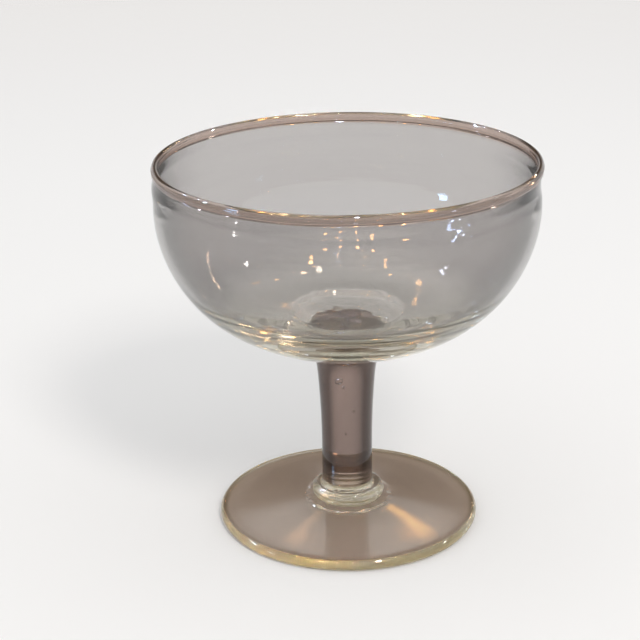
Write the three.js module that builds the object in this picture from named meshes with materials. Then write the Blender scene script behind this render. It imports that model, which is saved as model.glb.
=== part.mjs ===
// Footed dessert glass: a wide rounded bowl on a short solid stem, a collar and a round foot.
// Millimetres, +Z up, origin at the centre of the foot's resting ring.
// Each piece is one gather of glass. The pieces meet on flat round faces, one on top of the other.
import * as THREE from "three";

// Foot: a thin disc, thicker towards its middle, hollowed underneath, with a rounded edge
const footRadius = 35.2;
const footEdgeHeight = 2.8;       // thickness of the rounded edge
const footEdgeRound = 1.25;       // how far the rounding of the edge reaches inwards
const footSeatHeight = 5.2;       // top of the foot, where the collar sits
const footSeatMargin = 1.4;       // the flat seat reaches this far past the collar's base
const footSlopeCurve = 1.35;      // 1 is a straight cone, more draws the slope in
const restRingWidth = 3.2;        // flat ring that the glass stands on
const hollowRise = 2.0;           // height of the hollow at the middle of the underside

// Collar: the rounded disc of glass between stem and foot
const collarBaseRadius = 8.7;
const collarRadius = 10.0;
const collarBeadHeight = 3.6;     // height of the rounded part
const collarNeckHeight = 1.4;     // height of the drawn-in part above it

// Stem: a solid rod that widens into the bowl
const stemRadius = 6.8;
const stemLength = 38.2;
const stemTaper = 1.6;            // slow widening over the upper part
const stemTaperLength = 28.4;
const stemFlare = 1.2;            // quick widening just under the bowl
const stemFlareLength = 8.4;

// Bowl: outside, from the joint up to the widest place
const bowlRadius = 49.75;         // at the belly
const bowlDepth = 40.2;           // joint to belly
const bowlFullness = 0.009;       // swell between bottom and belly
const bowlFillet = 4.2;           // how far the rounding at the joint reaches outwards
const bowlFilletRise = 1.1;       // how steeply it starts, above the joint

// Bowl: inside
const wallThickness = 1.6;
const evenWall = 28;              // degrees below the belly, down to where the wall is that thin
const floorThickness = 10.8;      // at the edge of the dip
const dipRadius = 14.8;           // shallow dip in the middle of the floor, at its upper edge
const dipSlope = 1.6;             // how far its wall leans in
const dipDepth = 1.6;
const dipRound = 0.4;             // how far the rounding of either edge reaches

// Rim: a slight neck and a rounded, thicker lip with a crease under it
const neckRadius = 49.6;
const neckWall = 1.4;
const neckRise = 5.6;             // belly to neck
const lipRadius = 50.2;
const lipThickness = 2.05;
const lipHeight = 2.9;            // height of the rounded lip
const lipRise = 4.55;             // neck to the middle of the lip
const creaseAngle = 62;           // degrees below the middle of the lip, where the neck leaves it
const creaseDrop = 0.575;         // how far below its middle the crease aims, in lip heights

// Fineness of the turned solids
const segments = 48;

// Heights that follow from the sizes
const collarBase = footSeatHeight;
const stemBase = collarBase + collarBeadHeight + collarNeckHeight;
const bowlBase = stemBase + stemLength;
const bellyHeight = bowlBase + bowlDepth;
const neckHeight = bellyHeight + neckRise;
const lipMiddle = neckHeight + lipRise;
const stemTopRadius = stemRadius + stemTaper + stemFlare;

const blend = (t) => t * t * (3 - 2 * t);
const mix = (a, b, t) => a + (b - a) * t;

// Points of a curve: place(t) for t from 0 to 1 in a number of steps
function curve(steps, place, from = 0, to = 1) {
  const points = [];
  for (let i = 0; i <= steps; i++) points.push(place(mix(from, to, i / steps)));
  return points;
}

// Points of an elliptic arc in the profile's plane, angles in quarter turns
function arc(steps, middleR, middleZ, halfWidth, halfHeight, fromQuarter, toQuarter) {
  return curve(steps, (q) => {
    const angle = q * Math.PI / 2;
    return [middleR + halfWidth * Math.cos(angle), middleZ + halfHeight * Math.sin(angle)];
  }, fromQuarter, toQuarter);
}

// Points of a rounded corner between two ends
function bend(steps, first, corner, last) {
  return curve(steps, (t) => first.map(
    (a, i) => (1 - t) ** 2 * a + 2 * t * (1 - t) * corner[i] + t * t * last[i]));
}

// Turns a profile of [radius, height] points about the Z axis into a named mesh
function turned(name, profile, colour, roughness) {
  const outline = profile.filter((point, i) => {
    if (i === 0) return true;
    const [r, z] = profile[i - 1];
    return Math.hypot(point[0] - r, point[1] - z) > 1e-4;
  });
  const geometry = new THREE.LatheGeometry(outline.map(([r, z]) => new THREE.Vector2(r, z)), segments);
  geometry.rotateX(Math.PI / 2);
  const material = new THREE.MeshStandardMaterial({
    color: colour, roughness, metalness: 0, transparent: true, opacity: 0.45, side: THREE.DoubleSide,
  });
  const mesh = new THREE.Mesh(geometry, material);
  mesh.name = name;
  return mesh;
}

function foot() {
  const half = footEdgeHeight / 2;
  const seatRadius = collarBaseRadius + footSeatMargin;
  const slopeStart = footRadius - footEdgeRound;
  const ringInner = slopeStart - restRingWidth;
  const slope = curve(6, (t) => [
    mix(slopeStart, seatRadius, t),
    footEdgeHeight + (footSeatHeight - footEdgeHeight) * t ** footSlopeCurve,
  ]);
  const hollow = curve(6, (t) => [ringInner * t, hollowRise * (1 - t * t) ** 1.5]);
  return turned("foot", [
    ...hollow,
    ...arc(6, slopeStart, half, footEdgeRound, half, -1, 1),
    ...slope,
    [0, footSeatHeight],
  ], "#91826f", 0.05);
}

function collar() {
  const half = collarBeadHeight / 2;
  const beadTop = collarBase + collarBeadHeight;
  const bead = curve(8, (t) => {
    const angle = mix(-1, 1, t) * Math.PI / 2;
    const inner = mix(collarBaseRadius, stemRadius + collarNeckHeight, t);
    return [mix(inner, collarRadius, Math.cos(angle)), collarBase + half + half * Math.sin(angle)];
  });
  const neck = arc(4, stemRadius + collarNeckHeight, stemBase, collarNeckHeight, stemBase - beadTop, -1, -2);
  return turned("collar", [[0, collarBase], ...bead, ...neck, [0, stemBase]], "#a39478", 0.04);
}

function stem() {
  const rod = curve(12, (t) => {
    const height = stemLength * t;
    const taper = Math.max(0, 1 - (stemLength - height) / stemTaperLength);
    const flare = Math.max(0, 1 - (stemLength - height) / stemFlareLength);
    return [stemRadius + stemTaper * taper ** 2 + stemFlare * flare ** 3, stemBase + height];
  });
  return turned("stem", [[0, stemBase], ...rod, [0, bowlBase]], "#7a6860", 0.03);
}

function bowl() {
  // outside wall, from the fillet at the joint up to the belly
  const outer = (angle) => {
    const swell = 1 + bowlFullness * Math.sin(2 * angle) ** 4;
    return [bowlRadius * Math.sin(angle) * swell, bellyHeight - bowlDepth * Math.cos(angle) * swell];
  };
  const filletEnd = Math.asin((stemTopRadius + bowlFillet) / bowlRadius);
  const filletCorner = [stemTopRadius, bowlBase + bowlFilletRise];
  const fillet = bend(4, [stemTopRadius, bowlBase], filletCorner, outer(filletEnd));
  const wall = curve(12, outer, filletEnd, Math.PI / 2);
  const belly = curve(3, (t) => [mix(bowlRadius, neckRadius, blend(t)), mix(bellyHeight, neckHeight, t)]);

  // lip, a cord that rests on the neck between its outer and its inner crease
  const lipHalf = lipThickness / 2;
  const crease = creaseAngle / 90;
  const lip = arc(12, lipRadius - lipHalf, lipMiddle, lipHalf, lipHeight / 2, -crease, 2 + crease);
  const creaseHeight = lipMiddle - creaseDrop * lipHeight;
  const outerCrease = [lip[0][0], creaseHeight];
  const innerCrease = [lip[lip.length - 1][0], creaseHeight];
  const innerNeck = neckRadius - neckWall;
  const outerNeck = bend(4, [neckRadius, neckHeight], outerCrease, lip[0]);
  const insideNeck = bend(4, lip[lip.length - 1], innerCrease, [innerNeck, neckHeight]);

  // inside wall: alongside the outside, then a bend into the level floor and a step down into the dip
  const inner = (angle) => {
    const [r, z] = outer(angle);
    const across = Math.sin(angle) / bowlRadius;
    const up = Math.cos(angle) / bowlDepth;
    const size = wallThickness / Math.hypot(across, up);
    return [r - across * size, z + up * size];
  };
  const innerBelly = curve(3, (t) => [
    mix(innerNeck, bowlRadius - wallThickness, blend(t)), mix(neckHeight, bellyHeight, t),
  ]);
  const evenEnd = (90 - evenWall) * Math.PI / 180;
  const insideWall = curve(6, inner, Math.PI / 2, evenEnd);
  const [wallR, wallZ] = insideWall[insideWall.length - 1];
  const slope = bowlDepth * Math.sin(evenEnd) / (bowlRadius * Math.cos(evenEnd));
  const floorHeight = bowlBase + floorThickness;
  const corner = [wallR - (wallZ - floorHeight) / slope, floorHeight];
  const dipFloor = floorHeight - dipDepth;
  const edge = [dipRadius, floorHeight];
  const dipCorner = [dipRadius - dipSlope, dipFloor];
  const middle = edge.map((a, i) => mix(a, dipCorner[i], 0.5));
  const level = [dipRadius + dipRound, floorHeight];
  const sunk = [dipRadius - dipSlope - dipRound, dipFloor];
  const turn = bend(8, [wallR, wallZ], corner, level);
  const dip = [...bend(3, level, edge, middle), ...bend(3, middle, dipCorner, sunk), [0, dipFloor]];
  return turned("bowl", [
    [0, bowlBase], ...fillet,
    ...wall, ...belly, ...outerNeck, ...lip, ...insideNeck, ...innerBelly, ...insideWall, ...turn, ...dip,
  ], "#a59f99", 0.03);
}

const glass = new THREE.Group();
glass.add(foot(), collar(), stem(), bowl());

export default glass;
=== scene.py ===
import math
import random

import bmesh
import bpy
from mathutils import Matrix, Vector, noise


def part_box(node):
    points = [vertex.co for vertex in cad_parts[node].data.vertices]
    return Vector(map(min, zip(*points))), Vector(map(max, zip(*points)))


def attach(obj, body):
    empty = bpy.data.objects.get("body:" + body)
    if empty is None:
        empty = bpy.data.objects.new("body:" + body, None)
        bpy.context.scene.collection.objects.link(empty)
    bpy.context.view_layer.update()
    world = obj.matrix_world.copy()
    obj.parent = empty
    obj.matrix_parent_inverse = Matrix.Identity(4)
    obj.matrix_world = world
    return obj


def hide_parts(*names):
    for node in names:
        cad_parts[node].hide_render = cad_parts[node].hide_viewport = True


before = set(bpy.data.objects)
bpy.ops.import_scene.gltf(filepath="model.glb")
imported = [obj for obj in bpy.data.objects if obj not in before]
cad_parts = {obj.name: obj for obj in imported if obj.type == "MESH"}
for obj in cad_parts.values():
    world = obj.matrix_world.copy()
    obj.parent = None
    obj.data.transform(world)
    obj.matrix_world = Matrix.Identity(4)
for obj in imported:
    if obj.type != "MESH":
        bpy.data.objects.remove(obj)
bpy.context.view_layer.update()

scene = bpy.context.scene
mm = 0.001                              # sizes are in mm, unless a note says something else


# lowest and highest point and radius of a turned node
def nodeSpan(node):
    low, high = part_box(node)
    return low.z / mm, high.z / mm, high.x / mm


footLow, footHigh, footRadius = nodeSpan("foot")
collarLow, collarHigh, collarRadius = nodeSpan("collar")
stemLow, stemHigh, stemTopRadius = nodeSpan("stem")
bowlLow, bowlHigh, rimRadius = nodeSpan("bowl")
print("frame loaded, glass is", round(bowlHigh - footLow, 2), "mm high")


def addObject(name, data):
    added = bpy.data.objects.new(name, data)
    scene.collection.objects.link(added)
    return added


# camera, at the photograph's angle
view = {
    "distance": 408.9,                  # along the floor, from the glass's axis
    "height": 210.8,                    # above the floor
    "pitch": 20.76,                     # degrees down
    "turn": 1.04,                       # degrees to the left, so the glass stands right of the middle
    "roll": -0.44,                      # degrees
    "lens": 93.2,
    "film": 36,
    "near": 10,                         # nothing is seen that is nearer
    "far": 20000,                       # or further away
}


def makeCamera(v):
    data = bpy.data.cameras.new("camera")
    data.lens = v["lens"]
    data.sensor_width = v["film"]
    data.clip_start = v["near"] * mm
    data.clip_end = v["far"] * mm
    camera = addObject("camera", data)
    stand = Matrix.Translation((0, -v["distance"] * mm, v["height"] * mm))
    turn = Matrix.Rotation(math.radians(v["turn"]), 4, "Z")
    tip = Matrix.Rotation(math.radians(90 - v["pitch"]), 4, "X")
    roll = Matrix.Rotation(math.radians(v["roll"]), 4, "Z")
    camera.matrix_world = stand @ turn @ tip @ roll
    scene.camera = camera


makeCamera(view)
print("camera placed")


# colours and nodes
def toLinear(hexColour, alpha=1.0):
    shown = [int(hexColour[i:i + 2], 16) / 255 for i in (1, 3, 5)]
    linear = [c / 12.92 if c <= 0.04045 else ((c + 0.055) / 1.055) ** 2.4 for c in shown]
    return (*linear, alpha)


# adds a node; settings in lower case are its own, the others and the numbered ones are its sockets
def addNode(tree, kind, settings=None, links=None):
    node = tree.nodes.new("ShaderNode" + kind)
    for name, value in (settings or {}).items():
        if isinstance(name, int) or name[0].isupper():
            node.inputs[name].default_value = value
        else:
            setattr(node, name, value)
    for name, source in (links or {}).items():
        tree.links.new(source, node.inputs[name])
    return node


def newMaterial(name):
    material = bpy.data.materials.new(name)
    material.use_nodes = True
    material.node_tree.nodes.clear()
    return material, material.node_tree


smooth = {"interpolation_type": "SMOOTHSTEP"}
colours = {"data_type": "RGBA"}         # a mix's socket 0 is the share, 6 and 7 are the colours, 2 comes out

# Soda-lime glass, gathered, worked hot and fire-polished: a wet, rounded gloss with no cut or ground edge.
# Old glass of this kind is a little smoky all through, and turns olive or brown where it is thick.
# Its skin froze while it was still moving, so it has a slow swell that bends what is seen through it.
sodaLime = {
    "index": 1.52,
    "fusedIndex": 1.0,                  # where two gathers are stuck together light goes straight on
}


def fireGlass(name, s):
    material, tree = newMaterial(name)
    spot = addNode(tree, "TexCoord").outputs["Object"]
    height = addNode(tree, "SeparateXYZ", {}, {"Vector": spot}).outputs["Z"]
    facing = addNode(tree, "LayerWeight", {"Blend": 0.5}).outputs["Facing"]
    fused = addNode(tree, "Attribute", {"attribute_name": "fused"}).outputs["Fac"]
    skin = {}                           # what the surface takes from other nodes

    # painted shade: the colour darkens where the glass is seen on a slant, in place of dark surroundings seen
    # in its edges
    slant = addNode(tree, "MapRange", {**smooth, "From Min": s["edgeFrom"], "From Max": s["edgeTo"]},
                    {"Value": facing})
    tint = addNode(tree, "Mix", {**colours, 6: toLinear(s["tint"]), 7: toLinear(s["paintedEdgeShade"])},
                   {0: slant.outputs["Result"]})
    # painted light: the bottom gets a clearer, lighter tint, without the painted edge shade
    if "paintedLightBottomTint" in s:
        start, end = [z * mm for z in s["lowEnd"]]
        raised = addNode(tree, "MapRange", {**smooth, "From Min": start, "From Max": end}, {"Value": height})
        tint = addNode(tree, "Mix", {**colours, 6: toLinear(s["paintedLightBottomTint"])},
                       {0: raised.outputs["Result"], 7: tint.outputs[2]})
    # the foot's edge band is polished smoother, which is real, and tinted darker and browner, which is
    # painted shade
    if "wornTo" in s:
        start, end = [r * mm for r in s["wornTo"]]
        apart = addNode(tree, "VectorMath", {"operation": "LENGTH"}, {0: spot})
        polishedAndShaded = addNode(tree, "MapRange", {**smooth, "From Min": start, "From Max": end},
                           {"Value": apart.outputs["Value"]})
        tint = addNode(tree, "Mix", {**colours, 7: toLinear(s["paintedEdgeBandShade"])},
                       {0: polishedAndShaded.outputs["Result"], 6: tint.outputs[2]})
        dull = addNode(tree, "MapRange", {"To Min": s["wornRoughness"], "To Max": s["roughness"]},
                       {"Value": polishedAndShaded.outputs["Result"]})
        skin["Roughness"] = dull.outputs["Result"]
    # painted reflection: the rim is tinted browner in place of a warm room seen in it, and painted shade
    # darkens it where it turns away
    if "paintedRimReflection" in s:
        start, end = s["rimEdge"]
        away = addNode(tree, "MapRange", {**smooth, "From Min": start, "From Max": end}, {"Value": facing})
        rim = addNode(tree, "Mix", {**colours, 6: toLinear(s["paintedRimReflection"]), 7: toLinear(s["paintedRimShade"])},
                      {0: away.outputs["Result"]})
        start, end = [z * mm for z in s["rimFrom"]]
        rimShare = addNode(tree, "MapRange", {**smooth, "From Min": start, "From Max": end},
                           {"Value": height})
        tint = addNode(tree, "Mix", colours,
                       {0: rimShare.outputs["Result"], 6: tint.outputs[2], 7: rim.outputs[2]})

    # no skin and so no tint where it is fused to the next gather
    tint = addNode(tree, "Mix", {**colours, 7: toLinear("#ffffff")}, {0: fused, 6: tint.outputs[2]})
    index = addNode(tree, "MapRange", {"To Min": sodaLime["index"], "To Max": sodaLime["fusedIndex"]},
                    {"Value": fused})
    skin["Base Color"] = tint.outputs[2]
    skin["IOR"] = index.outputs["Result"]

    stretch = [1 / (size * mm) for size in s["swellSize"]]
    across = addNode(tree, "Mapping", {"Scale": stretch}, {"Vector": spot})
    swell = addNode(tree, "TexNoise", {"Scale": 1.0, "Detail": 2.0, "Roughness": 0.4},
                    {"Vector": across.outputs["Vector"]})
    bump = addNode(tree, "Bump", {"Strength": 1.0, "Distance": s["swell"] * mm},
                   {"Height": swell.outputs["Fac"]})
    skin["Normal"] = bump.outputs["Normal"]

    glass = addNode(tree, "BsdfPrincipled", {"Roughness": s["roughness"], "Transmission Weight": 1.0}, skin)
    depth = addNode(tree, "VolumeAbsorption", {"Color": toLinear(s["depthColour"]), "Density": s["density"]})
    addNode(tree, "OutputMaterial", {}, {"Surface": glass.outputs["BSDF"], "Volume": depth.outputs["Volume"]})
    return material


# shape of the turned pieces
def mix(a, b, t):
    return a + (b - a) * t


def ease(t):
    t = min(max(t, 0.0), 1.0)
    return t * t * (3 - 2 * t)


def curve(steps, placeAt, start=0.0, end=1.0):
    return [placeAt(mix(start, end, i / steps)) for i in range(steps + 1)]


# elliptic arc round middle, angles in quarter turns
def arc(steps, middle, half, start, end):
    return curve(steps, lambda q: (middle[0] + half[0] * math.cos(q * math.pi / 2),
                                   middle[1] + half[1] * math.sin(q * math.pi / 2)), start, end)


# rounded corner between two points
def bend(steps, first, corner, last):
    return curve(steps, lambda t: tuple(
        (1 - t) ** 2 * a + 2 * t * (1 - t) * b + t * t * c for a, b, c in zip(first, corner, last)))


# slow unevenness, mostly between -0.6 and 0.6, that changes over a distance of size
def uneven(size, *place):
    return noise.noise(Vector(place) / size)


# the same, seen from above only; each lump in the list has its size, how high it is, and its layer of noise
def lumpy(lumps, x, y):
    return sum(high * uneven(size, x, y, layer) for size, high, layer in lumps)


handmade = {
    "lean": -0.3,                       # the stem stands this far off the axis at its foot
    "leanTop": -0.5,                    # and this far under the bowl
    "leanBowl": -0.2,                   # and the bowl's mouth this far
    "leanFrom": 6,                      # the lean comes in over this height, above the foot
    "leanBack": 12,                     # and the bowl leans back over this height, above the stem
    "rimTilt": 0.33,                    # how much the rim rises to the right
    "rimTiltBack": 0.11,                # and to the back
    "tiltFrom": 14,                     # the tilt comes in over this height, above the stem
    "sides": 192,                       # steps round each piece
}


# from a true turned form to the hand-worked one, in m
def settle(r, angle, z):
    x, y = r * math.cos(angle), r * math.sin(angle)
    lean = mix(handmade["lean"], handmade["leanTop"], ease((z - stemLow) / (stemHigh - stemLow)))
    lean = mix(lean, handmade["leanBowl"], ease((z - bowlLow) / handmade["leanBack"]))
    lean *= ease((z - footHigh) / handmade["leanFrom"])
    most = math.hypot(handmade["rimTilt"], handmade["rimTiltBack"])
    tilt = (handmade["rimTilt"] * x + handmade["rimTiltBack"] * y) / rimRadius - most
    return (x + lean) * mm, y * mm, (z + tilt * ease((z - bowlLow) / handmade["tiltFrom"])) * mm


# Turns a closed profile of (radius, height) into a mesh. fusedRows are the faces that touch the next gather,
# and wander(row, radius, angle, height) moves a point off the true form, outwards and upwards.
def turnPiece(name, profile, material, fusedRows, wander=None):
    sides = handmade["sides"]
    points, rows = [], []
    for i, (r, z) in enumerate(profile):
        if r == 0:
            rows.append([len(points)] * sides)
            points.append(settle(0, 0, z))
            continue
        rows.append(list(range(len(points), len(points) + sides)))
        for k in range(sides):
            angle = 2 * math.pi * k / sides
            outwards, upwards = wander(i, r, angle, z) if wander else (0, 0)
            points.append(settle(r + outwards, angle, z + upwards))
    faces, fused = [], []
    for i in range(len(rows) - 1):
        for k in range(sides):
            n = (k + 1) % sides
            corners = [rows[i][k], rows[i][n], rows[i + 1][n], rows[i + 1][k]]
            faces.append([v for j, v in enumerate(corners) if v not in corners[:j]])
            fused.append(1.0 if i in fusedRows else 0.0)
    mesh = bpy.data.meshes.new(name)
    mesh.from_pydata(points, [], faces)
    mesh.materials.append(material)
    mesh.attributes.new("fused", "FLOAT", "FACE").data.foreach_set("value", fused)
    mesh.update()
    mesh.shade_smooth()
    edges = {tuple(sorted(e.vertices)): e.index for e in mesh.edges}
    sharp = mesh.attributes.get("sharp_edge") or mesh.attributes.new("sharp_edge", "BOOLEAN", "EDGE")
    for i in fusedRows:
        row = rows[i] if profile[i][0] > profile[i + 1][0] else rows[i + 1]
        for k in range(sides):
            sharp.data[edges[tuple(sorted((row[k], row[(k + 1) % sides])))]].value = True
    return addObject(name, mesh)


def dress(piece, node):
    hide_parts(node)
    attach(piece, "root")


joint = 0.01                            # kept open between two gathers, far too thin to see

footShape = {
    "edgeHeight": 2.8,
    "edgeRound": 1.25,
    "seatRadius": 10.1,
    "slopeCurve": 1.35,
    "ringWidth": 3.2,
    "hollowRise": 2.0,
    "toolRings": ((0.85, 0.002), (2.295, 0.0012)),      # pitch and height of the rings that the tool left
    "toolFade": 2,                      # they fade out over this width
    "sag": ((2, 0.05), (3, 0.03)),      # how many times the top sinks in a round, and half how deep
    "sagStart": 0.7,                    # where, in radians
    "sagTwist": 9,                      # it moves on by a radian over this distance outwards
    "flattened": 0.12,                  # the edge is pushed in on two sides, at most twice this far
    "flattenedAt": 0.9,                 # where, in radians
    "flattenedWidth": 3,
    "footingRadius": 11.2,              # uneven ridge where the collar was pressed on
    "footingWidth": 0.7,
    "footingHeight": 0.144,
    "footingLumps": ((1.7, 0.192, 0.0), (0.8, 0.096, 5.0)),
    "tint": "#f6e9df",                  # what is left of white light behind one wall
    "paintedEdgeShade": "#b8ab9e",              # painted shade, darker where the wall is seen on a slant
    "edgeFrom": 0.5,                    # the slant at which that starts, 0 is square on and 1 along the wall
    "edgeTo": 0.9,                      # and at which it is full
    "depthColour": "#e1dd9b",           # the colour that thick glass turns to
    "density": 11.0,                    # per metre
    "roughness": 0.02,                  # at its edge
    "wornRoughness": 0.085,             # the top is dulled by years of wiping
    "wornTo": (32.6, 34.2),             # from the middle, where that ends
    "paintedEdgeBandShade": "#d3c4ae",              # painted shade: the edge band is tinted darker and browner
    "swell": 0.03,                      # how high the slow swell of the skin is
    "swellSize": (11, 11, 11),          # and how wide
}


def makeFoot(s):
    half = s["edgeHeight"] / 2
    slopeStart = footRadius - s["edgeRound"]
    ringInner = slopeStart - s["ringWidth"]
    top = footHigh - joint
    hollow = curve(60, lambda t: (ringInner * t, s["hollowRise"] * (1 - t * t) ** 1.5))
    edgeArc = arc(28, (slopeStart, half), (s["edgeRound"], half), -1, 1)
    slope = curve(170, lambda t: (mix(slopeStart, s["seatRadius"], t),
                                 s["edgeHeight"] + (top - s["edgeHeight"]) * t ** s["slopeCurve"]))
    profile = hollow + edgeArc + slope[1:] + [(collarShape["baseRadius"], top), (0, top)]

    # the underside is true; the top has tool marks and sags a little, and the edge isn't quite round
    def wander(i, r, angle, z):
        if i < len(hollow):
            return 0, 0
        rise = sum(high * math.sin(2 * math.pi * r / pitch) for pitch, high in s["toolRings"])
        starts = s["sagStart"], r / s["sagTwist"]
        for start, (times, high) in zip(starts, s["sag"]):
            rise += high * (math.sin(times * angle + start) - 1)
        rise *= ease((r - s["seatRadius"]) / s["toolFade"]) * ease((slopeStart - r) / s["toolFade"])
        flat = s["flattened"] * (1 + math.cos(2 * angle + s["flattenedAt"]))
        flat *= ease((r - slopeStart) / s["flattenedWidth"] + 1)
        footing = s["footingHeight"] + lumpy(s["footingLumps"], r * math.cos(angle), r * math.sin(angle))
        footing *= math.exp(-((r - s["footingRadius"]) / s["footingWidth"]) ** 2)
        return -flat, rise + footing

    glass = fireGlass("fire glass foot", s)
    piece = turnPiece("foot_disc", profile, glass, {len(profile) - 2}, wander)
    dress(piece, "foot")


collarShape = {
    "baseRadius": 8.7,
    "beadHeight": 3.6,
    "neckHeight": 1.4,
    "ridgePitch": 1.45,                 # between the ridges that were wound round it
    "ridgeHeight": 0.19,
    "lumps": 0.26,                      # how high the lumps in them are
    "lumpSize": 1.1,
    "lumpSink": 0.6,                    # lowered by this share of that, so that no lump stands out
    "fadeLow": 0.5,                     # ridges and lumps fade out over this height at the foot
    "fadeHigh": 0.3,                    # and over this height at the stem
    "tint": "#e6e0d8",
    # painted shade, darker where the ridges are seen on a slant
    "paintedEdgeShade": "#6e6256",
    "edgeFrom": 0.2,
    "edgeTo": 0.75,
    "depthColour": "#e1dd9b",
    "density": 20.0,
    "roughness": 0.025,
    "swell": 0.04,
    "swellSize": (5, 5, 5),
}


def makeCollar(s):
    half = s["beadHeight"] / 2
    low, high = collarLow + joint, collarHigh - joint
    neckRadius = stemShape["radius"] + s["neckHeight"]

    def bead(t):
        angle = mix(-1, 1, t) * math.pi / 2
        return (mix(mix(s["baseRadius"], neckRadius, t), collarRadius, math.cos(angle)),
                low + half + half * math.sin(angle))

    beadTop = low + s["beadHeight"]
    neck = arc(24, (neckRadius, high), (s["neckHeight"], high - beadTop), -1, -2)
    profile = [(0, low)] + curve(90, bead) + neck[1:] + [(0, high)]

    # the collar was wound on, which left ridges that climb as they go round
    def wander(i, r, angle, z):
        ridges = math.sin(2 * math.pi * (z - low) / s["ridgePitch"] + angle)
        lumps = uneven(s["lumpSize"], r * math.cos(angle), r * math.sin(angle), z)
        fade = ease((z - low) / s["fadeLow"]) * ease((high - z) / s["fadeHigh"])
        return fade * (s["ridgeHeight"] * (ridges - 1) + s["lumps"] * (lumps - s["lumpSink"])), 0

    glass = fireGlass("fire glass collar", s)
    piece = turnPiece("collar_ring", profile, glass, {0, len(profile) - 2}, wander)
    dress(piece, "collar")


stemShape = {
    "radius": 6.8,
    "taper": 1.6,
    "taperLength": 28.4,
    "flare": 1.2,
    "flareLength": 8.4,
    "tint": "#a69087",
    # painted shade, dark where the rod's sides are seen on a slant
    "paintedEdgeShade": "#2a1c16",
    "edgeFrom": 0.05,
    "edgeTo": 0.34,
    "depthColour": "#b9aba0",
    "density": 25.0,
    "roughness": 0.025,
    "swell": 0.02,
    "swellSize": (6, 6, 30),
}


def makeStem(s):
    low, high = stemLow + joint, stemHigh - joint
    length = high - low

    def rod(t):
        below = length * (1 - t)
        taper = max(0, 1 - below / s["taperLength"])
        flare = max(0, 1 - below / s["flareLength"])
        return s["radius"] + s["taper"] * taper ** 2 + s["flare"] * flare ** 3, low + length * t

    profile = [(0, low)] + curve(90, rod) + [(0, high)]
    glass = fireGlass("fire glass stem", s)
    piece = turnPiece("stem_rod", profile, glass, {0, len(profile) - 2})
    dress(piece, "stem")


bowlShape = {
    "radius": 49.75,
    "depth": 40.2,
    "fullness": 0.009,
    "fillet": 4.2,
    "filletRise": 1.1,
    "wall": 1.6,
    "evenWall": 28,                     # degrees below the belly, the wall is this thin down to there
    "floorThickness": 10.8,             # at the dip's edge
    "dipRadius": 14.8,                  # shallow dip in the floor, at its upper edge
    "dipSlope": 1.6,                    # how far its wall leans in
    "dipDepth": 1.6,
    "dipRound": 0.4,                    # how far the rounding of either edge reaches
    "dipRise": 0.25,                    # the dip's middle stands up this much
    "dipShelf": 1.6,                    # width of the level floor round it
    "neckRadius": 49.6,
    "neckWall": 1.4,
    "neckRise": 5.6,
    "neckSkew": -0.35,                  # the neck is drawn in this much on the right, and swells on the left
    "neckSkewHeight": 2.5,              # that fades out over about this height above and below it
    "lipRadius": 49.96,                 # from the lip's own middle, which stands a little off the foot's
    "lipThickness": 2.05,
    "lipHeight": 2.9,
    "creaseAngle": 62,                  # degrees below the lip's middle, where the neck leaves it
    "creaseDrop": 0.575,                # how far below its middle the crease aims, in lip heights
    "wallLine": 0.004,                  # height of the fine level lines that the turning of the pipe left
    "wallLinePitch": 1.9,
    "wallLineDrift": 3,                 # radians, how far they stray from level
    "wallLineDriftSize": 30,
    "wallLineLow": (2, 8),              # heights above the floor between which they come in
    "wallLineHigh": 3,                  # and they fade out over this height under the neck
    "lipLine": 0.03,                    # half the depth of the level lines from turning the lip in the flame
    "lipLinePitch": 0.95,
    "lipLineDrift": ((25, 2, 4.0),),    # radians again, as a list of lumps
    "lipLineFade": 0.4,
    "wrinkles": ((3.6, 0.26, 0.0), (1.8, 0.104, 9.0)),  # the dip was pressed in with a cold tool
    "wrinkleFade": 1.5,
    "bead": 0.1,                        # height of the thin ridges that it pushed up along both edges
    "beadWidth": 0.35,
    "beadLumps": ((4, 0.07, 3.0),),
    "tint": "#c8c5c4",
    # painted shade, darker where the wall is seen on a slant
    "paintedEdgeShade": "#666767",
    "edgeFrom": 0.3,
    "edgeTo": 0.95,
    "paintedLightBottomTint": "#fbf9f4",               # painted light: the thick bottom is tinted clearer and lighter, so that it shows bright
    "lowEnd": (55, 64),                 # heights between which that turns into the smoky wall
    "paintedRimReflection": "#b8a69c",               # painted reflection: the rim is tinted a little browner, in place of a warm room reflected in it
    "paintedRimShade": "#5e463c",           # painted shade, darker where the rim turns away
    "rimEdge": (0.35, 0.85),            # the slants between which it darkens
    "rimFrom": (96.5, 97.5),            # heights between which the wall turns into the rim
    "depthColour": "#e1dd9b",
    "density": 6.0,
    "roughness": 0.025,
    "swell": 0.03,
    "swellSize": (16, 16, 9),
}

# heights that follow from them and from the frame
bellyHeight = bowlLow + bowlShape["depth"]
neckHeight = bellyHeight + bowlShape["neckRise"]
lipMiddle = bowlHigh - bowlShape["lipHeight"] / 2
floorHeight = bowlLow + bowlShape["floorThickness"]


# outside of the wall, at an angle from straight down
def outerWall(s, angle):
    swell = 1 + s["fullness"] * math.sin(2 * angle) ** 4
    return s["radius"] * math.sin(angle) * swell, bellyHeight - s["depth"] * math.cos(angle) * swell


# inside of the wall at the same angle
def innerWall(s, angle):
    r, z = outerWall(s, angle)
    across, up = math.sin(angle) / s["radius"], math.cos(angle) / s["depth"]
    size = s["wall"] / math.hypot(across, up)
    return r - across * size, z + up * size


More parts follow.
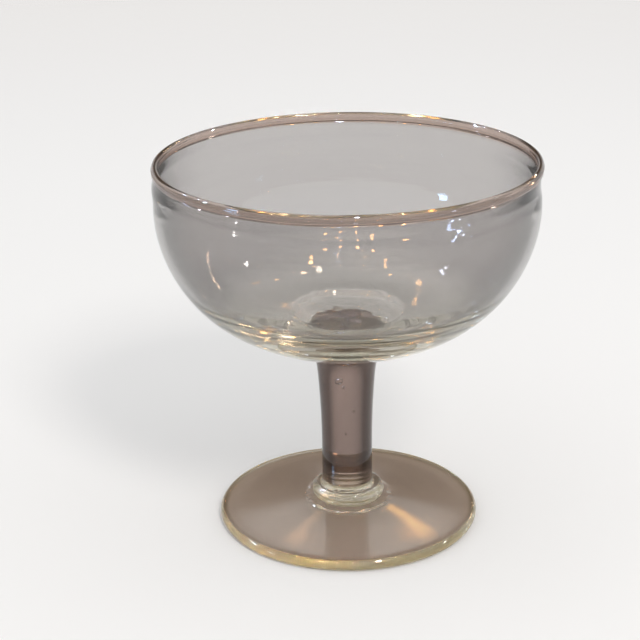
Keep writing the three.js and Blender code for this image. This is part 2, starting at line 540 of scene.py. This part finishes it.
def bowlOutside(s):
    low = bowlLow + joint
    filletEnd = math.asin((stemTopRadius + s["fillet"]) / s["radius"])
    fillet = bend(12, (stemTopRadius, low), (stemTopRadius, low + s["filletRise"]), outerWall(s, filletEnd))
    wall = curve(110, lambda angle: outerWall(s, angle), filletEnd, math.pi / 2)
    toNeck = curve(14, lambda t: (mix(s["radius"], s["neckRadius"], ease(t)),
                                  mix(bellyHeight, neckHeight, t)))
    return [(0, low)] + fillet + wall[1:] + toNeck[1:]


def bowlLip(s):
    half = s["lipThickness"] / 2
    crease = s["creaseAngle"] / 90
    lip = arc(56, (s["lipRadius"] - half, lipMiddle), (half, s["lipHeight"] / 2), -crease, 2 + crease)
    creaseHeight = lipMiddle - s["creaseDrop"] * s["lipHeight"]
    toLip = bend(16, (s["neckRadius"], neckHeight), (lip[0][0], creaseHeight), lip[0])
    fromLip = bend(16, lip[-1], (lip[-1][0], creaseHeight), (s["neckRadius"] - s["neckWall"], neckHeight))
    return toLip[1:] + lip[1:] + fromLip[1:]


def bowlInside(s):
    neckInside, bellyInside = s["neckRadius"] - s["neckWall"], s["radius"] - s["wall"]
    toBelly = curve(14, lambda t: (mix(neckInside, bellyInside, ease(t)), mix(neckHeight, bellyHeight, t)))
    evenEnd = math.radians(90 - s["evenWall"])
    wall = curve(70, lambda angle: innerWall(s, angle), math.pi / 2, evenEnd)
    r, z = wall[-1]
    steepness = s["depth"] * math.sin(evenEnd) / (s["radius"] * math.cos(evenEnd))
    corner = (r - (z - floorHeight) / steepness, floorHeight)
    toFloor = bend(70, (r, z), corner, (s["dipRadius"] + s["dipRound"] + s["dipShelf"], floorHeight))
    return toBelly[1:] + wall[1:] + toFloor[1:]


def bowlDip(s):
    edge = (s["dipRadius"], floorHeight)
    foot = (s["dipRadius"] - s["dipSlope"], floorHeight - s["dipDepth"])
    level = (edge[0] + s["dipRound"], edge[1])
    halfway = tuple(mix(a, b, 0.5) for a, b in zip(edge, foot))
    sunk = (foot[0] - s["dipRound"], foot[1])
    shelf = curve(16, lambda t: (mix(level[0] + s["dipShelf"], level[0], t), floorHeight))
    wall = bend(16, level, edge, halfway) + bend(16, halfway, foot, sunk)[1:]
    sink = curve(56, lambda t: (sunk[0] * (1 - t), sunk[1] + s["dipRise"] * ease(t)))
    return shelf[1:] + wall[1:] + sink[1:]


# the neck isn't drawn in evenly, and level lines run round the wall and round the lip
def wanderWall(s, r, angle, z):
    x, y = r * math.cos(angle), r * math.sin(angle)
    skew = s["neckSkew"] * math.cos(angle) * math.exp(-((z - neckHeight) / s["neckSkewHeight"]) ** 2)
    drift = s["wallLineDrift"] * uneven(s["wallLineDriftSize"], x, y, z)
    lines = s["wallLine"] * math.sin(2 * math.pi * z / s["wallLinePitch"] + drift)
    start, full = s["wallLineLow"]
    lines *= ease((z - floorHeight - start) / (full - start)) * ease((neckHeight - z) / s["wallLineHigh"])
    lipDrift = lumpy(s["lipLineDrift"], x, y)
    lipLines = s["lipLine"] * (math.sin(2 * math.pi * z / s["lipLinePitch"] + lipDrift) - 1)
    lipLines *= ease((z - lipMiddle + s["lipHeight"] / 2) / s["lipLineFade"])
    outside = r >= s["lipRadius"] - s["lipThickness"] / 2
    return skew + lines + (lipLines if outside else -lipLines)


# the dip is wrinkled, and a thin ridge runs along both edges of its wall
def wanderDip(s, r, angle):
    x, y = r * math.cos(angle), r * math.sin(angle)
    foot = s["dipRadius"] - s["dipSlope"]
    wrinkles = lumpy(s["wrinkles"], x, y) * ease((foot - r) / s["wrinkleFade"])
    edges = s["dipRadius"] + s["dipRound"], foot - s["dipRound"]
    beads = sum(math.exp(-((r - edge) / s["beadWidth"]) ** 2) for edge in edges)
    return wrinkles + beads * (s["bead"] + lumpy(s["beadLumps"], x, y))


def makeBowl(s):
    profile = bowlOutside(s) + bowlLip(s) + bowlInside(s)
    dipStart = len(profile)
    profile += bowlDip(s)

    def wander(i, r, angle, z):
        return (wanderWall(s, r, angle, z), 0) if i < dipStart else (0, wanderDip(s, r, angle))

    glass = fireGlass("fire glass bowl", s)
    piece = turnPiece("bowl_shell", profile, glass, {0}, wander)
    dress(piece, "bowl")


# small bubbles left in the gathers, seen as bright-edged specks; each is a closed skin round air
seeds = {
    "stem": [                           # middle and half size, and degrees that the top leans to the right
        ((-2.1, -3.6, 40.5), (0.85, 0.5, 1.1), 38),
        ((-1.1, -4.6, 38.9), (0.3, 0.3, 0.45), 10),
        ((1.2, -4.4, 32.0), (0.28, 0.28, 0.4), 0),
        ((-5.4, -2.0, 38.6), (0.3, 0.3, 0.5), -8),
        ((-0.6, -5.0, 25.4), (0.22, 0.22, 0.4), 5),
    ],
    "ringCount": 44,                    # tiny ones that were caught under the collar when it was pressed on
    "ringRadius": (7.9, 8.5),
    "ringDepth": (0.35, 1.0),           # above the foot
    "ringSize": (0.09, 0.2),
    "ringStretch": (0.7, 1.4),          # their height, as a share of their width
    "ringShift": 0.6,                   # how far each strays, as a share of the way to the next
    "pattern": 5,                       # another number gives another scatter
    "index": 1 / sodaLime["index"],     # of air, as light in the glass meets it
}


# adds one bubble to lists of points and faces
def blow(points, faces, middle, size, lean, rings=12, sides=18):
    leaned = Matrix.Rotation(math.radians(lean), 3, "Y")
    offset = len(points)
    for i in range(rings + 1):
        along = math.pi * i / rings
        for k in range(sides):
            angle = 2 * math.pi * k / sides
            point = Vector((size[0] * math.sin(along) * math.cos(angle),
                            size[1] * math.sin(along) * math.sin(angle), -size[2] * math.cos(along)))
            points.append((leaned @ point + Vector(middle)) * mm)
    for i in range(rings):
        for k in range(sides):
            n = (k + 1) % sides
            corners = [i * sides + k, i * sides + n, (i + 1) * sides + n, (i + 1) * sides + k]
            faces.append([offset + v for v in corners])


# air shut in when the glass was gathered: its skin shines like a mirror where light meets it at a slant
def trappedAir(name, s):
    material, tree = newMaterial(name)
    air = addNode(tree, "BsdfGlass", {"Roughness": 0.0, "IOR": s["index"]})
    addNode(tree, "OutputMaterial", {}, {"Surface": air.outputs["BSDF"]})
    return material


def makeSeeds(name, bubbles, material):
    points, faces = [], []
    for middle, size, lean in bubbles:
        blow(points, faces, middle, size, lean)
    mesh = bpy.data.meshes.new(name)
    mesh.from_pydata(points, [], faces)
    mesh.materials.append(material)
    piece = addObject(name, mesh)
    shape = bmesh.new()
    shape.from_mesh(mesh)
    bmesh.ops.remove_doubles(shape, verts=shape.verts, dist=0.001 * mm)    # closes the ends
    shape.to_mesh(mesh)
    shape.free()
    mesh.shade_smooth()
    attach(piece, "root")


def makeAllSeeds(s):
    air = trappedAir("air in fire glass", s)
    makeSeeds("stem_seeds", s["stem"], air)
    chance = random.Random(s["pattern"])
    caught = []
    for k in range(s["ringCount"]):
        angle = 2 * math.pi * (k + s["ringShift"] * chance.random()) / s["ringCount"]
        r = chance.uniform(*s["ringRadius"])
        z = collarLow + chance.uniform(*s["ringDepth"])
        half = chance.uniform(*s["ringSize"])
        middle = (r * math.cos(angle) + handmade["lean"], r * math.sin(angle), z)
        caught.append((middle, (half, half, half * chance.uniform(*s["ringStretch"])), 0))
    makeSeeds("collar_seeds", caught, air)


makeFoot(footShape)
makeCollar(collarShape)
makeStem(stemShape)
makeBowl(bowlShape)
makeAllSeeds(seeds)
print("glass turned")


# Studio: a pale floor that fades into the backdrop, and a soft dome of light above it.
# A dark panel straight behind the glass draws the dark lines in the rim and keeps the dome off the foot.
studio = {
    "floor": "#f4f3f1",
    "floorRadius": 1500,
    "floorGap": 0.1,                    # kept open under the glass
    "fadeFrom": 300,
    "fadeTo": 1100,
    "backdrop": "#eae7e5",
    "panel": "#4c3a32",
    "panelLow": 12.5,                   # degrees above the horizon, where the dark panel starts
    "panelHigh": 29,                    # and where it ends
    "panelSide": 44,                    # degrees to either side of straight behind
    "panelSoft": 3,                     # degrees of soft edge, inwards and outwards
    "dome": "#fafbfd",
    "domeStrength": 0.95,
    "domeFrom": 12,                     # degrees above the horizon, where the backdrop ends
    "domeTo": 24,                       # and the dome is reached
}


# board with matt emulsion paint rolled on: it has no shine, takes a soft shadow and fades out far away
def paintedBoard(name, s):
    material, tree = newMaterial(name)
    where = addNode(tree, "NewGeometry")
    apart = addNode(tree, "VectorMath", {"operation": "LENGTH"}, {0: where.outputs["Position"]})
    fade = addNode(tree, "MapRange", {**smooth, "From Min": s["fadeFrom"] * mm, "From Max": s["fadeTo"] * mm},
                   {"Value": apart.outputs["Value"]})
    board = addNode(tree, "BsdfDiffuse", {"Color": toLinear(s["floor"])})
    clear = addNode(tree, "BsdfTransparent")
    both = addNode(tree, "MixShader", {}, {0: fade.outputs["Result"], 1: board.outputs["BSDF"],
                                           2: clear.outputs["BSDF"]})
    addNode(tree, "OutputMaterial", {}, {"Surface": both.outputs["Shader"]})
    return material


def makeFloor(s):
    sides = 96
    angles = [2 * math.pi * k / sides for k in range(sides)]
    reach = s["floorRadius"] * mm
    ring = [(reach * math.cos(angle), reach * math.sin(angle), -s["floorGap"] * mm) for angle in angles]
    mesh = bpy.data.meshes.new("floor")
    mesh.from_pydata(ring, [], [list(range(sides))])
    mesh.materials.append(paintedBoard("matt painted board", s))
    floor = addObject("floor", mesh)


def makeWorld(s):
    world = bpy.data.worlds.new("studio")
    scene.world = world
    world.use_nodes = True
    tree = world.node_tree
    tree.nodes.clear()
    way = addNode(tree, "TexCoord").outputs["Generated"]
    split = addNode(tree, "SeparateXYZ", {}, {"Vector": way})
    height, behind = split.outputs["Z"], split.outputs["Y"]
    soft, side = s["panelSoft"], 90 - s["panelSide"]
    fades = {                           # what is measured, and the degrees between which it fades in
        "dome": (height, s["domeFrom"], s["domeTo"]),
        "above": (height, s["panelLow"] - soft, s["panelLow"] + soft),
        "below": (height, s["panelHigh"] + soft, s["panelHigh"] - soft),
        "between": (behind, side - soft, side + soft),
    }
    shares = {}
    for name, (measure, start, end) in fades.items():
        start, end = math.sin(math.radians(start)), math.sin(math.radians(end))
        fade = addNode(tree, "MapRange", {**smooth, "From Min": start, "From Max": end}, {"Value": measure})
        shares[name] = fade.outputs["Result"]
    dome = (*[c * s["domeStrength"] for c in toLinear(s["dome"])[:3]], 1.0)
    lit = addNode(tree, "Mix", {**colours, 6: toLinear(s["backdrop"]), 7: dome}, {0: shares["dome"]})
    band = addNode(tree, "Math", {"operation": "MULTIPLY"}, {0: shares["above"], 1: shares["below"]})
    panel = addNode(tree, "Math", {"operation": "MULTIPLY"}, {0: band.outputs["Value"], 1: shares["between"]})
    tone = addNode(tree, "Mix", {**colours, 7: toLinear(s["panel"])},
                   {0: panel.outputs["Value"], 6: lit.outputs[2]})
    back = addNode(tree, "Background", {"Strength": 1.0}, {"Color": tone.outputs[2]})
    addNode(tree, "OutputWorld", {}, {"Surface": back.outputs["Background"]})


# Lamps round the room that only draw glints in the glass and light nothing else.
# turn is to the right of the photographer and rise is above the horizon, in degrees; power is in W.
bulbs = {
    "coolFront": {"turn": 6, "rise": 52, "away": 1400, "size": 44, "power": 280, "colour": "#a8c8ff"},
    "coolLeft": {"turn": -96, "rise": 30, "away": 1400, "size": 40, "power": 40, "colour": "#b4d2ff"},
    "coolLeftTwo": {"turn": -107, "rise": 33, "away": 1400, "size": 24, "power": 20, "colour": "#dce8ff"},
    "coolLeftThree": {"turn": -116, "rise": 28, "away": 1400, "size": 30, "power": 20, "colour": "#a8c8ff"},
    "coolLow": {"turn": -68, "rise": 13, "away": 1400, "size": 110, "power": 9, "colour": "#a8d0ff"},
    "whiteRight": {"turn": 104, "rise": 34, "away": 1500, "size": 32, "power": 110, "colour": "#ffffff"},
    "whiteHigh": {"turn": 55, "rise": 70, "away": 1500, "size": 50, "power": 240, "colour": "#fff4e4"},
    "amberBack": {"turn": 171, "rise": 33, "away": 1500, "size": 30, "power": 0.28, "colour": "#ffbc60"},
    "peachBack": {"turn": -173.5, "rise": 36, "away": 1500, "size": 30, "power": 0.12, "colour": "#ffc898"},
    "coolBack": {"turn": -160, "rise": 40, "away": 1500, "size": 20, "power": 4, "colour": "#d0e0ff"},
}
tube = {"turn": 148, "rise": 22, "away": 1500, "size": (800, 12), "power": 2.4, "colour": "#ffdcb8"}
warmRow = {                             # a row of bulbs overhead, the first and the last at these turns
    "turns": (-84, 77),
    "count": 8,
    "rise": 64,
    "away": 1500,
    "size": 28,
    "power": 130,
    "colour": "#ffc078",
}
key = {"place": (400, -850, 950), "size": (250, 350), "power": 5, "colour": "#fffaf6"}
lampsAim = (0, 0, 50)                   # what the lamps point at
lampsRound = 80                         # height of the point that turn, rise and away are measured from


# where a lamp stands
def around(s):
    turn, rise = math.radians(s["turn"]), math.radians(s["rise"])
    flat = math.cos(rise) * s["away"]
    return math.sin(turn) * flat, -math.cos(turn) * flat, lampsRound + math.sin(rise) * s["away"]


# a lamp's light goes no further than the first matt surface
def onlyGlints(lamp):
    lamp.visible_diffuse = False
    lamp.data.use_nodes = True
    tree = lamp.data.node_tree
    tree.nodes.clear()
    path = addNode(tree, "LightPath")
    straight = addNode(tree, "Math", {"operation": "LESS_THAN", 1: 0.5}, {0: path.outputs["Diffuse Depth"]})
    light = addNode(tree, "Emission", {}, {"Strength": straight.outputs["Value"]})
    addNode(tree, "OutputLight", {}, {"Surface": light.outputs["Emission"]})


def newLamp(name, kind, s, place):
    data = bpy.data.lights.new(name, kind)
    data.energy = s["power"]
    data.color = toLinear(s["colour"])[:3]
    if kind == "AREA":
        data.shape = "RECTANGLE"
        data.size, data.size_y = [size * mm for size in s["size"]]
    else:
        data.shadow_soft_size = s["size"] * mm
    lamp = addObject(name, data)
    lamp.location = Vector(place) * mm
    lamp.rotation_euler = (Vector(lampsAim) * mm - lamp.location).to_track_quat("-Z", "Y").to_euler()
    return lamp


def makeLamps():
    lamp = newLamp("key", "AREA", key, key["place"])
    lamp.visible_glossy = lamp.visible_transmission = False    # its square image would show in the glass
    for name, s in bulbs.items():
        onlyGlints(newLamp(name, "POINT", s, around(s)))
    onlyGlints(newLamp("tube", "AREA", tube, around(tube)))
    for k in range(warmRow["count"]):
        s = dict(warmRow, turn=mix(*warmRow["turns"], k / (warmRow["count"] - 1)))
        onlyGlints(newLamp("warm" + str(k + 1), "POINT", s, around(s)))


makeFloor(studio)
makeWorld(studio)
makeLamps()
print("studio lit")

scene.view_settings.view_transform = "Standard"
scene.cycles.sample_clamp_indirect = 40     # lets a bulb's glint on a far wall stay white
scene.cycles.max_bounces = 24
scene.cycles.transmission_bounces = 24
scene.cycles.glossy_bounces = 24            # light that runs along inside a wall is reflected many times
scene.cycles.transparent_max_bounces = 16
